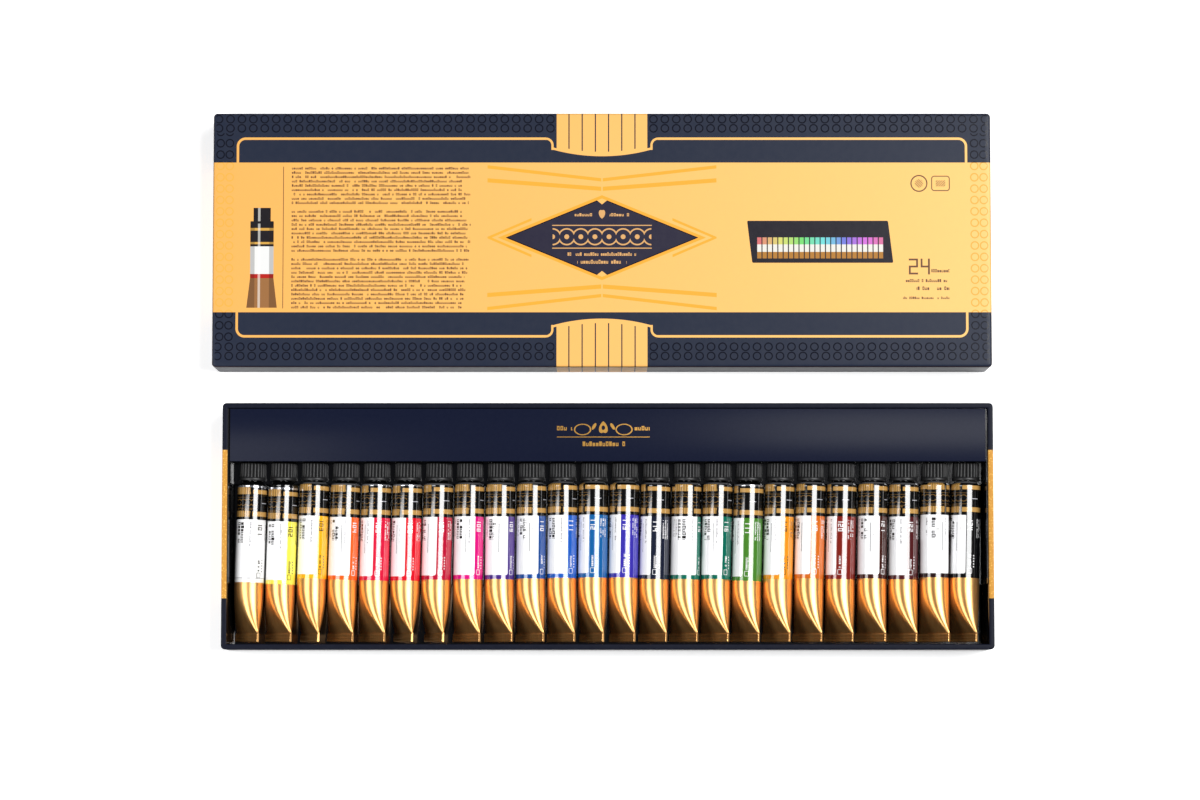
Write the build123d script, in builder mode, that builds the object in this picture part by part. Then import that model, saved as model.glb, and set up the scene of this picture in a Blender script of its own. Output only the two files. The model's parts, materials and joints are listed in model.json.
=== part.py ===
from build123d import *

import os
from math import cos, pi, radians, sin, sqrt, tan

# Watercolour tube set. A shallow tray of paper-covered board holds a row of collapsible metal tubes
# in a thermoformed insert, under a header card, and its deep lid lies face up beside it.
# Millimetres. The origin is the centre of the tray's underside, with +X along the row of tubes
# from left to right, +Y from the crimped ends towards the caps, and +Z up.

os.makedirs("parts", exist_ok=True)

# Board and papers of the box
BOARD = 1.5
PAPER = 0.2
CORNER_RADIUS = 1.8
FOLD_RADIUS = 1.2
TURN_IN = 14.0
LID_CLEARANCE = 0.4
LID_HEADROOM = 0.1

# Where the lid lies beside the tray
LID_DISTANCE = 16.1
LID_SHIFT = -2.6

# One tube, from its shoulder to its folded end
TUBE_DIAMETER = 13.5
ROUND_LENGTH = 43.2
FLATTENING_LENGTH = 23.7
CRIMP_LENGTH = 3.9
CRIMP_THICKNESS = 0.7
CRIMP_FLAP = 0.4
PINCH_THICKNESS = 0.6
FLATTENING_POWER = 1.4
PINCH_SIDES = 24
SHOULDER_LENGTH = 2.0
SHOULDER_TOP_DIAMETER = 9.4
NECK_DIAMETER = 8.0
NECK_SIDES = 12

# One screw cap
CAP_DIAMETER = 12.4
CAP_LENGTH = 7.9
CAP_END_THICKNESS = 1.3
CAP_SKIRT = 1.3
CAP_RIB_INSET = 0.15
CAP_DRAFT = 1.5
FLUTE_COUNT = 18
FLUTE_SHARE = 0.1
CAP_SEAT_GAP = 0.3
THREAD_CLEARANCE = 0.45

# How each tube lies in the row: the tilt of its flat end and the lean of its length, in degrees
CRIMP_TILTS = [57, 53, 64, 54, 54, 65, 65, 54, 53, 53, 54, 60]
CRIMP_TILTS += [58, 55, 55, 54, 55, 56, 55, 55, 54, 55, 53, 60]
LEANS = [1.6, 1.5, 1.4, 1.6, 1.4, 1.3, 1.4, 0.9, 0.6, 0.5, 0.5, 0.7]
LEANS += [0.9, 1.1, 1.2, 1.4, 1.5, 1.5, 1.4, 1.4, 1.0, 0.9, 0.7, 1.3]
TUBE_GAP = 0.6
ROW_SHIFT = 0.7

# The thermoformed insert
SHEET = 0.4
INSERT_CLEARANCE = 0.3
SEAT_GAP = 0.3
END_MARGIN = 3.3
SIDE_WALL_GAP = 1.0
CRIMP_END_GAP = 0.9
CAP_END_GAP = 0.5
CRADLE_DROP = 4.3
CRADLE_CLEARANCE = 1.2
CRADLE_OVERRUN = 1.5
CRADLE_DRAFT = 18.0
CAP_POCKET_DROP = 1.0
CAP_POCKET_CLEARANCE = 0.45
CAP_POCKET_DRAFT = 9.0
POST_NECK_GAP = 0.7
WALL_DRAFT = 5.0

# The header card
HEADER_DEPTH = 24.5
CARD_THICKNESS = 0.8
CARD_RECESS = 1.0
CARD_SIDE_GAP = 1.5
CARD_BACK_GAP = 0.7
RIM_HEADROOM = 0.45

TUBE_COUNT = len(CRIMP_TILTS)
TUBE_RADIUS = TUBE_DIAMETER / 2
TUBE_PITCH = TUBE_DIAMETER + TUBE_GAP
TUBE_LENGTH = ROUND_LENGTH + FLATTENING_LENGTH + CRIMP_LENGTH
CAP_RIM = SHOULDER_LENGTH + CAP_SEAT_GAP
BORE_DEPTH = CAP_LENGTH - CAP_END_THICKNESS
CAP_RADIUS = CAP_DIAMETER / 2
CRIMP_HALF_WIDTH = pi * TUBE_RADIUS / 2
WALL = BOARD + 2 * PAPER

# Heights: the steepest folded end just clears the floor of the insert
steepest = radians(max(CRIMP_TILTS))
fold_thickness = CRIMP_THICKNESS + CRIMP_FLAP
crimp_reach = CRIMP_HALF_WIDTH * sin(steepest) + fold_thickness * cos(steepest)
INSERT_SEAT = PAPER + BOARD
CHANNEL_FLOOR = INSERT_SEAT + SHEET
AXIS_HEIGHT = CHANNEL_FLOOR + SEAT_GAP + crimp_reach
TRAY_HEIGHT = AXIS_HEIGHT + crimp_reach + RIM_HEADROOM
PLATEAU_HEIGHT = TRAY_HEIGHT - CARD_RECESS - CARD_THICKNESS
CRADLE_FLOOR = AXIS_HEIGHT - TUBE_RADIUS - SEAT_GAP
CRADLE_RIDGE = AXIS_HEIGHT - CRADLE_DROP
CAP_RIDGE = AXIS_HEIGHT - CAP_POCKET_DROP

# Plan sizes: the tray is as long as the row of tubes and as wide as header, cap and tube together
INSIDE_LENGTH = TUBE_COUNT * TUBE_PITCH + 2 * END_MARGIN
cap_and_tube = CAP_LENGTH + CAP_RIM + TUBE_LENGTH
INSIDE_WIDTH = INSERT_CLEARANCE + SHEET + CRIMP_END_GAP + cap_and_tube + CAP_END_GAP + HEADER_DEPTH
TRAY_LENGTH = INSIDE_LENGTH + 2 * WALL
TRAY_WIDTH = INSIDE_WIDTH + 2 * WALL
INSERT_LENGTH = INSIDE_LENGTH - 2 * INSERT_CLEARANCE
INSERT_WIDTH = INSIDE_WIDTH - 2 * INSERT_CLEARANCE

CHANNEL_FRONT = -INSERT_WIDTH / 2 + SHEET
SHOULDER_Y = CHANNEL_FRONT + CRIMP_END_GAP + TUBE_LENGTH
CAP_END_Y = SHOULDER_Y + CAP_RIM + CAP_LENGTH
POCKET_BACK = CAP_END_Y + CAP_END_GAP
POST_FRONT = SHOULDER_Y + POST_NECK_GAP
GATE_BACK = SHOULDER_Y + SHOULDER_LENGTH
CRADLE_FRONT = SHOULDER_Y - ROUND_LENGTH - CRADLE_OVERRUN

# The cradles lie under the middle of the leaning tubes
CRADLE_SHIFT = tan(radians(sum(LEANS) / TUBE_COUNT)) * ROUND_LENGTH / 2

LID_LENGTH = TRAY_LENGTH + 2 * (LID_CLEARANCE + WALL)
LID_WIDTH = TRAY_WIDTH + 2 * (LID_CLEARANCE + WALL)
LID_HEIGHT = TRAY_HEIGHT + LID_HEADROOM + PAPER + BOARD + PAPER
LID_Y = TRAY_WIDTH / 2 + LID_DISTANCE + LID_WIDTH / 2
LID_BASE = Plane((LID_SHIFT, LID_Y, 0))


# The tray: board, its outer wrap turned over the rim, and the paper on its underside

with BuildPart() as tray_board:
    with BuildSketch(Plane.XY.offset(PAPER)):
        RectangleRounded(TRAY_LENGTH - 2 * PAPER, TRAY_WIDTH - 2 * PAPER, CORNER_RADIUS - PAPER)
    extrude(amount=TRAY_HEIGHT - 2 * PAPER)
    with BuildSketch(Plane.XY.offset(INSERT_SEAT)):
        Rectangle(INSIDE_LENGTH + 2 * PAPER, INSIDE_WIDTH + 2 * PAPER)
    extrude(amount=TRAY_HEIGHT, mode=Mode.SUBTRACT)
tray_board.part.label = "tray_board"
export_step(tray_board.part, "parts/tray_board.step")

with BuildPart() as tray_wrap:
    with BuildSketch(Plane.XY.offset(PAPER)):
        RectangleRounded(TRAY_LENGTH, TRAY_WIDTH, CORNER_RADIUS)
    extrude(amount=TRAY_HEIGHT - PAPER)
    with BuildSketch(Plane.XY.offset(PAPER)):
        RectangleRounded(TRAY_LENGTH - 2 * PAPER, TRAY_WIDTH - 2 * PAPER, CORNER_RADIUS - PAPER)
    extrude(amount=TRAY_HEIGHT - TURN_IN - PAPER, mode=Mode.SUBTRACT)
    with BuildSketch(Plane.XY.offset(TRAY_HEIGHT - TURN_IN)):
        RectangleRounded(TRAY_LENGTH - 2 * PAPER, TRAY_WIDTH - 2 * PAPER, CORNER_RADIUS - PAPER)
        Rectangle(INSIDE_LENGTH + 2 * PAPER, INSIDE_WIDTH + 2 * PAPER, mode=Mode.SUBTRACT)
    extrude(amount=TURN_IN - PAPER, mode=Mode.SUBTRACT)
    with BuildSketch(Plane.XY.offset(PAPER)):
        Rectangle(INSIDE_LENGTH, INSIDE_WIDTH)
    extrude(amount=TRAY_HEIGHT, mode=Mode.SUBTRACT)
tray_wrap.part.label = "tray_wrap"
export_step(tray_wrap.part, "parts/tray_wrap.step")

with BuildPart() as tray_base_paper:
    with BuildSketch():
        RectangleRounded(TRAY_LENGTH, TRAY_WIDTH, CORNER_RADIUS)
    extrude(amount=PAPER)
tray_base_paper.part.label = "tray_base_paper"
export_step(tray_base_paper.part, "parts/tray_base_paper.step")


# The insert: one thin sheet drawn over a form, open underneath. Seen from an end of the row, each
# pocket of the form widens upwards, and it runs from its back towards the crimped ends.

def pocket_outline(floor_width, depth, draft):
    """The cross-section of a pocket, standing on the middle of its floor."""
    spread = depth * tan(radians(draft))
    corners = [
        (-floor_width / 2, 0),
        (floor_width / 2, 0),
        (floor_width / 2 + spread, depth),
        (-floor_width / 2 - spread, depth),
    ]
    return Polygon(*corners, align=None)


def insert_form(inset):
    """The form under the sheet, with every pocket larger by inset and every top lower by it.

    Between a cradle and its cap pocket, a gate narrows with the tube's shoulder.
    """
    bay_width = TUBE_COUNT * TUBE_PITCH + 2 * SIDE_WALL_GAP + 2 * inset
    cradle_depth = CRADLE_RIDGE - CRADLE_FLOOR
    cradle_chord = sqrt(TUBE_RADIUS**2 - CRADLE_DROP**2) + CRADLE_CLEARANCE + inset
    cradle_width = 2 * (cradle_chord - cradle_depth * tan(radians(CRADLE_DRAFT)))
    pocket_depth = CAP_RIDGE - CRADLE_FLOOR
    pocket_chord = sqrt(CAP_RADIUS**2 - CAP_POCKET_DROP**2) + CAP_POCKET_CLEARANCE + inset
    pocket_width = 2 * (pocket_chord - pocket_depth * tan(radians(CAP_POCKET_DRAFT)))
    shoulder_slope = (TUBE_DIAMETER - SHOULDER_TOP_DIAMETER) / 2 / SHOULDER_LENGTH
    gate_halves = []
    for distance in (POST_NECK_GAP, SHOULDER_LENGTH):
        shoulder_radius = TUBE_RADIUS - shoulder_slope * distance
        shoulder_chord = sqrt(shoulder_radius**2 - CAP_POCKET_DROP**2)
        gate_halves.append(shoulder_chord + CAP_POCKET_CLEARANCE + inset)
    gate_front, gate_back = gate_halves
    gate_corners = [
        (-gate_front, POST_FRONT - inset),
        (gate_front, POST_FRONT - inset),
        (gate_back, GATE_BACK + inset),
        (-gate_back, GATE_BACK + inset),
    ]
    bays = [
        (CHANNEL_FLOOR, CHANNEL_FRONT, CRADLE_FRONT),
        (CRADLE_RIDGE, CRADLE_FRONT, POST_FRONT),
        (CAP_RIDGE, POST_FRONT, POCKET_BACK),
    ]
    with BuildPart() as form:
        with BuildSketch(Plane.XY.offset(INSERT_SEAT - inset)):
            Rectangle(INSERT_LENGTH - 2 * inset, INSERT_WIDTH - 2 * inset)
        extrude(amount=PLATEAU_HEIGHT - INSERT_SEAT)
        for floor, front, back in bays:
            with BuildSketch(Plane.XZ.offset(-back - inset)):
                with Locations((0, floor - inset)):
                    pocket_outline(bay_width, PLATEAU_HEIGHT - floor, WALL_DRAFT)
            extrude(amount=back - front + 2 * inset, mode=Mode.SUBTRACT)
        with BuildSketch(Plane.XZ.offset(-POST_FRONT - inset)):
            with Locations((ROW_SHIFT - CRADLE_SHIFT, CRADLE_FLOOR - inset)):
                with GridLocations(TUBE_PITCH, 0, TUBE_COUNT, 1):
                    pocket_outline(cradle_width, cradle_depth, CRADLE_DRAFT)
        extrude(amount=POST_FRONT - CRADLE_FRONT + 2 * inset, mode=Mode.SUBTRACT)
        with BuildSketch(Plane.XZ.offset(-POCKET_BACK - inset)):
            with Locations((ROW_SHIFT, CRADLE_FLOOR - inset)):
                with GridLocations(TUBE_PITCH, 0, TUBE_COUNT, 1):
                    pocket_outline(pocket_width, pocket_depth, CAP_POCKET_DRAFT)
        extrude(amount=POCKET_BACK - GATE_BACK + 2 * inset, mode=Mode.SUBTRACT)
        with BuildSketch(Plane.XY.offset(CRADLE_FLOOR - inset)):
            with Locations((ROW_SHIFT, 0)):
                with GridLocations(TUBE_PITCH, 0, TUBE_COUNT, 1):
                    Polygon(*gate_corners, align=None)
        extrude(amount=pocket_depth + inset, mode=Mode.SUBTRACT)
    return form.part


with BuildPart() as insert:
    add(insert_form(0))
    add(insert_form(SHEET), mode=Mode.SUBTRACT)
insert.part.label = "insert"
export_step(insert.part, "parts/insert.step")


# The header card lies on the insert's flat top, behind the caps

with BuildPart() as header_card:
    card_front = POCKET_BACK
    card_back = INSIDE_WIDTH / 2 - CARD_BACK_GAP
    with BuildSketch(Plane.XY.offset(PLATEAU_HEIGHT)):
        with Locations((0, (card_front + card_back) / 2)):
            Rectangle(INSIDE_LENGTH - 2 * CARD_SIDE_GAP, card_back - card_front)
    extrude(amount=CARD_THICKNESS)
header_card.part.label = "header_card"
export_step(header_card.part, "parts/header_card.step")


# The tubes: round as far as the end of the label, then pressed flat without any change of girth,
# and folded over at the far end

def flattened_corners(plane, progress):
    """The tube's outline on its way to flat: two round ends, drawn apart and joined by flat sides."""
    share = progress**FLATTENING_POWER * (1 - PINCH_THICKNESS / TUBE_DIAMETER)
    end_radius = TUBE_RADIUS * (1 - share)
    reach = CRIMP_HALF_WIDTH * share
    corners = []
    for corner in range(PINCH_SIDES):
        turn = 2 * pi * (corner + 0.5) / PINCH_SIDES - pi / 2
        side = 1 if corner < PINCH_SIDES / 2 else -1
        corner_x = side * reach + end_radius * cos(turn)
        corners.append(plane.from_local_coords((corner_x, end_radius * sin(turn), 0)))
    return corners


def fluted_corners(plane, rib_radius):
    """The cap's outline: ribs and flutes in turn around it."""
    corners = []
    for half_step in range(2 * FLUTE_COUNT):
        radius = rib_radius * (1 - FLUTE_SHARE * (half_step % 2))
        turn = pi * half_step / FLUTE_COUNT
        corners.append(plane.from_local_coords((radius * cos(turn), radius * sin(turn), 0)))
    return corners


def skinned(sections):
    """A solid with one flat face between each two matching edges of its sections."""
    faces = [Face(Wire.make_polygon(section)) for section in (sections[0], sections[-1])]
    for near, far in zip(sections, sections[1:]):
        for corner in range(len(near)):
            before = corner - 1
            edges = [near[before], near[corner], far[corner], far[before]]
            faces.append(Face(Wire.make_polygon(edges)))
    return Solid(Shell(faces))


up = Vector(0, 0, 1)
neck_length = CAP_SEAT_GAP + BORE_DEPTH - SEAT_GAP
cap_taper = (CAP_LENGTH - CAP_SKIRT) * tan(radians(CAP_DRAFT))

for index in range(TUBE_COUNT):
    number = f"{index + 1:02d}"
    lean = radians(LEANS[index])
    tilt = radians(CRIMP_TILTS[index])
    along = Vector(sin(lean), cos(lean), 0)
    across = Vector(cos(lean), -sin(lean), 0)
    flat_direction = across * cos(tilt) + up * sin(tilt)
    row_x = ROW_SHIFT + (index - (TUBE_COUNT - 1) / 2) * TUBE_PITCH
    shoulder = Plane((row_x, SHOULDER_Y, AXIS_HEIGHT), x_dir=across, z_dir=along)
    flat_start = Plane(shoulder.offset(-ROUND_LENGTH).origin, x_dir=flat_direction, z_dir=along)

    with BuildPart() as tube:
        with BuildSketch(shoulder):
            Circle(TUBE_RADIUS)
        extrude(amount=-ROUND_LENGTH)
        with BuildSketch(shoulder):
            Circle(TUBE_RADIUS)
        with BuildSketch(shoulder.offset(SHOULDER_LENGTH)):
            Circle(SHOULDER_TOP_DIAMETER / 2)
        loft(ruled=True)
        with BuildSketch(shoulder.offset(SHOULDER_LENGTH)):
            RegularPolygon(NECK_DIAMETER / 2, NECK_SIDES)
        extrude(amount=neck_length)
        sections = []
        for progress in (0, 0.5, 1):
            section_plane = flat_start.offset(-progress * FLATTENING_LENGTH)
            sections.append(flattened_corners(section_plane, progress))
        add(skinned(sections))
        fold_start = flat_start.offset(-FLATTENING_LENGTH).origin
        with BuildSketch(Plane(fold_start, x_dir=along * -1, z_dir=flat_direction)):
            Rectangle(CRIMP_LENGTH, CRIMP_THICKNESS, align=(Align.MIN, Align.CENTER))
            with Locations((CRIMP_LENGTH, CRIMP_THICKNESS / 2)):
                Rectangle(CRIMP_LENGTH - CRIMP_FLAP, CRIMP_FLAP, align=(Align.MAX, Align.MIN))
        extrude(amount=CRIMP_HALF_WIDTH, both=True)
    tube.part.label = f"tube_{number}"
    export_step(tube.part, f"parts/tube_{number}.step")

    cap_rim = shoulder.offset(CAP_RIM)
    with BuildPart() as cap:
        with BuildSketch(cap_rim):
            RegularPolygon(CAP_RADIUS, FLUTE_COUNT)
        extrude(amount=CAP_SKIRT)
        fluted_start = fluted_corners(cap_rim.offset(CAP_SKIRT), CAP_RADIUS - CAP_RIB_INSET)
        fluted_end = fluted_corners(cap_rim.offset(CAP_LENGTH), CAP_RADIUS - CAP_RIB_INSET - cap_taper)
        add(skinned([fluted_start, fluted_end]))
        with BuildSketch(cap_rim):
            RegularPolygon(NECK_DIAMETER / 2 + THREAD_CLEARANCE, NECK_SIDES)
        extrude(amount=BORE_DEPTH, mode=Mode.SUBTRACT)
    cap.part.label = f"cap_{number}"
    export_step(cap.part, f"parts/cap_{number}.step")


# The lid: board with a wrap outside that turns in around the rim, and a paper lining on its ceiling

def lid_block(inset):
    """The closed outside of the lid, drawn in by inset, with its folded edges rounded."""
    with BuildPart() as block:
        with BuildSketch(LID_BASE):
            RectangleRounded(LID_LENGTH - 2 * inset, LID_WIDTH - 2 * inset, CORNER_RADIUS - inset)
        extrude(amount=LID_HEIGHT - inset)
        fillet(block.edges().group_by(Axis.Z)[-1], FOLD_RADIUS - inset)
    return block.part


ceiling = LID_HEIGHT - PAPER - BOARD

with BuildPart() as lid_board:
    add(lid_block(PAPER))
    with BuildSketch(LID_BASE):
        Rectangle(LID_LENGTH - 2 * (BOARD + PAPER), LID_WIDTH - 2 * (BOARD + PAPER))
    extrude(amount=ceiling, mode=Mode.SUBTRACT)
lid_board.part.label = "lid_board"
export_step(lid_board.part, "parts/lid_board.step")

with BuildPart() as lid_wrap:
    add(lid_block(0))
    add(lid_block(PAPER), mode=Mode.SUBTRACT)
    with BuildSketch(LID_BASE):
        Rectangle(LID_LENGTH - 2 * (BOARD + PAPER), LID_WIDTH - 2 * (BOARD + PAPER))
        Rectangle(LID_LENGTH - 2 * WALL, LID_WIDTH - 2 * WALL, mode=Mode.SUBTRACT)
    extrude(amount=TURN_IN)
lid_wrap.part.label = "lid_wrap"
export_step(lid_wrap.part, "parts/lid_wrap.step")

with BuildPart() as lid_liner:
    with BuildSketch(LID_BASE.offset(ceiling - PAPER)):
        Rectangle(LID_LENGTH - 2 * (BOARD + PAPER), LID_WIDTH - 2 * (BOARD + PAPER))
    extrude(amount=PAPER)
lid_liner.part.label = "lid_liner"
export_step(lid_liner.part, "parts/lid_liner.step")
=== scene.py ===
import json
import math
import random

import bmesh
import bpy
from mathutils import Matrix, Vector


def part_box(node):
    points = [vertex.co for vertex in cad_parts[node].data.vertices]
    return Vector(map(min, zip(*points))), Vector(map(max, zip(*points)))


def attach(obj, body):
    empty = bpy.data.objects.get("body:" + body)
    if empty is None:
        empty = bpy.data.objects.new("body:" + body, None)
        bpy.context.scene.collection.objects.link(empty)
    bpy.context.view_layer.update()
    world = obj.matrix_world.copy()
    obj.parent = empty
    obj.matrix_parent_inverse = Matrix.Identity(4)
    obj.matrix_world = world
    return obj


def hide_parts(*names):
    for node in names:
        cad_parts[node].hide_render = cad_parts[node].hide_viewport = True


# Watercolour tube set: a shallow navy tray with a row of paint tubes, and its printed lid beside it.
# Sizes in this file are millimetres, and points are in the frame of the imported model.

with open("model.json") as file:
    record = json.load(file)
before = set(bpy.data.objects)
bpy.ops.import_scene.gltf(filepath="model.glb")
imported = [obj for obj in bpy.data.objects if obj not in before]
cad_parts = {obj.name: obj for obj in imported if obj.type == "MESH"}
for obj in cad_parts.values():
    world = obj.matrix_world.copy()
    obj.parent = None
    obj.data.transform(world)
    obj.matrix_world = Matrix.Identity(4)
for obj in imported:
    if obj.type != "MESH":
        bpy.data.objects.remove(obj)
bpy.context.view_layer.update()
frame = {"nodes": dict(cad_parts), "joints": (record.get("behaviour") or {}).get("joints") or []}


# The lid.
# A deep cover of grey board, wrapped in satin printed paper and lined with white. The print has a gold
# band, a gold frame line, striped tabs on both long sides and a navy diamond in the centre.

MM = 0.001
TUBE_COUNT = 24


def extent(node):
    """The lowest and highest corners of a part of the frame, in millimetres."""
    low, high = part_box(node)
    return low / MM, high / MM


def add_node(tree, kind, sockets=(), **settings):
    """A shader node: its settings first, then the values or links of its sockets, by place or name."""
    made = tree.nodes.new("ShaderNode" + kind)
    for name, value in settings.items():
        setattr(made, name, value)
    for place, value in dict(sockets).items():
        if isinstance(value, Field):
            tree.links.new(value.socket, made.inputs[place])
        elif value is not None:
            made.inputs[place].default_value = value
    return made


class Field:
    """A value that varies over a surface. Arithmetic and comparisons on it add shader nodes."""

    def __init__(self, socket):
        self.socket = socket

    def node(self, kind, *others, output=0, **settings):
        """Feeds this value and the others into a new node, and returns one of its outputs."""
        made = add_node(self.socket.id_data, kind, enumerate((self, *others)), **settings)
        return Field(made.outputs[output])

    def math(self, operation, *others):
        """One sum, comparison or other operation on this value and the others."""
        return self.node("Math", *others, operation=operation)

    def __add__(self, other):
        return self.math("ADD", other)

    def __sub__(self, other):
        return self.math("SUBTRACT", other)

    def __rsub__(self, other):
        return self.math("MULTIPLY_ADD", -1.0, other)

    def __mul__(self, other):
        return self.math("MULTIPLY", other)

    def __truediv__(self, other):
        return self.math("DIVIDE", other)

    def __pow__(self, other):
        return self.math("POWER", other)

    def __mod__(self, other):
        return self.math("FLOORED_MODULO", other)

    def __lt__(self, other):
        return self.math("LESS_THAN", other)

    def __gt__(self, other):
        return self.math("GREATER_THAN", other)

    def __abs__(self):
        return self.math("ABSOLUTE")

    def __or__(self, other):
        return self.math("MAXIMUM", other)

    def __and__(self, other):
        return self.math("MINIMUM", other)

    def __invert__(self):
        return 1 - self

    __radd__ = __add__
    __rmul__ = __mul__

    def within(self, low, high):
        """1 where the value lies between two limits, and 0 elsewhere."""
        return (self > low) & (self < high)

    def near(self, middle, reach):
        """1 where the value is closer to the middle than reach."""
        return abs(self - middle) < reach

    def cell(self, pitch):
        """Which of a row of equal cells the value falls in."""
        return (self / pitch).math("FLOOR")

    def in_cell(self, pitch):
        """How far the value lies from the middle of its cell."""
        return self % pitch - pitch / 2

    def chance(self, other, seed=0.0):
        """A number from 0 to 1 that is different in each cell of two rows of cells."""
        place = self.node("CombineXYZ", other, seed)
        return place.node("TexWhiteNoise", noise_dimensions="3D")


def length(x, y):
    """The distance of a point from the origin of its two fields."""
    return (x * x + y * y) ** 0.5


def box_distance(x, y, half_x, half_y, radius):
    """The distance from the edge of a rectangle with round corners, less than 0 inside it."""
    over_x = abs(x) - (half_x - radius)
    over_y = abs(y) - (half_y - radius)
    outside = length(over_x | 0.0, over_y | 0.0)
    return outside + ((over_x | over_y) & 0.0) - radius


def rgb(red, green, blue):
    """A colour as it is seen, from 0 to 255, made linear for the shader."""
    seen = [value / 255 for value in (red, green, blue)]
    linear = [value / 12.92 if value <= 0.04045 else ((value + 0.055) / 1.055) ** 2.4 for value in seen]
    return [*linear, 1.0]


def inked(mask, under, over):
    """One colour laid over another where the mask is 1."""
    other_inputs = [None] * 5
    return mask.node("Mix", *other_inputs, under, over, data_type="RGBA", output=2)


def layered(colour, *inks):
    """A colour with inks laid over it one after the other, each given after its mask."""
    for mask, ink in inks:
        colour = inked(mask, colour, ink)
    return colour


def blended(mask, under, over):
    """One number in place of another where the mask is 1."""
    return mask * (over - under) + under


# Chances that a letter is left out, stays short and keeps whole, then its shape as shares of its cell
BLANK_CHANCE, SHORT_CHANCE, WHOLE_CHANCE = 0.17, 0.7, 0.35
LETTER_HALF, NOTCH_HALF, NOTCH_FOOT, TALLER = 0.4, 0.13, 0.14, 0.16


def small_print(x, y, bottom, lines, pitch, letter, seed, low=0.24, high=0.66):
    """Bars broken up like lines of small print, that say nothing, the lowest line on y = bottom."""
    up = y - bottom
    line = up.cell(pitch)
    in_line = (up % pitch) / pitch
    place = x.cell(letter)
    off_letter = abs(x.in_cell(letter))
    top = (place.chance(line, seed + 5.0) > SHORT_CHANCE) * TALLER + high
    notch = (off_letter < letter * NOTCH_HALF) & in_line.within(low + NOTCH_FOOT, high)
    notch = notch & (place.chance(line, seed + 9.0) > WHOLE_CHANCE)
    letters = (place.chance(line, seed) > BLANK_CHANCE) & (off_letter < letter * LETTER_HALF) & ~notch
    return letters & in_line.within(low, top) & up.within(0.0, lines * pitch)


# The strokes of each digit, a to f clockwise from the top and g in the middle
SEGMENTS = {
    "0": "abcdef", "1": "bc", "2": "abged", "3": "abgcd", "4": "fgbc",
    "5": "afgcd", "6": "afgedc", "7": "abc", "8": "abcdefg", "9": "abcdfg",
}


def numerals(text, x, y, height, stroke, lit=None):
    """A plain number made of strokes, its lower left corner at x = 0 and y = 0."""
    width, half = height * 0.52, height / 2
    gap = stroke * 2.4
    bars = {
        "a": (width / 2, height, width / 2, 0), "g": (width / 2, half, width / 2, 0),
        "d": (width / 2, 0, width / 2, 0), "f": (0, half * 1.5, 0, half / 2),
        "b": (width, half * 1.5, 0, half / 2), "e": (0, half / 2, 0, half / 2),
        "c": (width, half / 2, 0, half / 2),
    }
    drawn = None
    for place, digit in enumerate(text):
        for bar in bars if lit else SEGMENTS[digit]:
            centre_x, centre_y, reach_x, reach_y = bars[bar]
            start = centre_x + place * (width + gap)
            mark = x.near(start, reach_x + stroke / 2) & y.near(centre_y, reach_y + stroke / 2)
            mark = mark & lit(place, bar) if lit else mark
            drawn = mark if drawn is None else drawn | mark
    return drawn


class Finish:
    """A material, with the places its pattern is drawn from."""

    def __init__(self, name):
        self.material = bpy.data.materials.new(name)
        self.material.use_nodes = True
        self.tree = self.material.node_tree
        self.tree.nodes.clear()
        self.shader = add_node(self.tree, "BsdfPrincipled")
        add_node(self.tree, "OutputMaterial", {"Surface": Field(self.shader.outputs[0])})

    def where(self):
        """The point on the object, in millimetres, as three fields."""
        coordinates = add_node(self.tree, "TexCoord")
        split = Field(coordinates.outputs["Object"]).node("SeparateXYZ")
        return [Field(output) * (1 / MM) for output in split.socket.node.outputs]

    def unrolled(self):
        """The point on the unrolled surface, from the mesh's own map, as two fields."""
        sheet = add_node(self.tree, "UVMap", uv_map="print")
        split = Field(sheet.outputs[0]).node("SeparateXYZ")
        return [Field(output) for output in split.socket.node.outputs[:2]]

    def dial(self, name, value):
        """A named value or colour that a copy of the material can set afresh."""
        made = add_node(self.tree, "RGB" if isinstance(value, list) else "Value", name=name)
        made.outputs[0].default_value = value
        return Field(made.outputs[0])

    def grain(self, size, stretch=(1, 1, 1), detail=3.0):
        """Cloudy variation about 0.5, its patches about size millimetres across."""
        x, y, z = self.where()
        place = (x / stretch[0]).node("CombineXYZ", y / stretch[1], z / stretch[2])
        return place.node("TexNoise", None, 1.0 / size, detail)

    def give(self, **values):
        """Sets the shader's inputs, by their names with _ for each space."""
        for name, value in values.items():
            socket = self.shader.inputs[name.replace("_", " ")]
            if isinstance(value, Field):
                self.tree.links.new(value.socket, socket)
            else:
                socket.default_value = value

    def bump(self, height, depth):
        """Raises the surface by up to depth millimetres where height is 1."""
        sockets = {"Distance": depth * MM, "Strength": 1.0, "Height": height}
        made = add_node(self.tree, "Bump", sockets)
        self.give(Normal=Field(made.outputs[0]))


lid_low, lid_high = extent("lid_wrap")
lid_x, lid_y = (lid_low.x + lid_high.x) / 2, (lid_low.y + lid_high.y) / 2
LID_NAVY = rgb(34, 41, 58)
PAPER_IOR = 1.45

BAND_MIDDLE, BAND_HALF = 1.15, 34.2
FRAME_X, FRAME_Y, FRAME_CORNER, FRAME_LINE = 165.5, 45.15, 3.5, 0.55
HOOK_X, HOOK_RADIUS, HOOK_LINE, HOOK_FOOT = 25.5, 3.0, 0.5, 40.0
TAB_HALF, TAB_TIP, TAB_RADIUS = 20.6, 37.1, 83.5
STRIPE_PITCH, STRIPE_LINE, STRIPES_HALF, STRIPES_START = 6.0, 0.27, 17.0, 2.0


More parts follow.
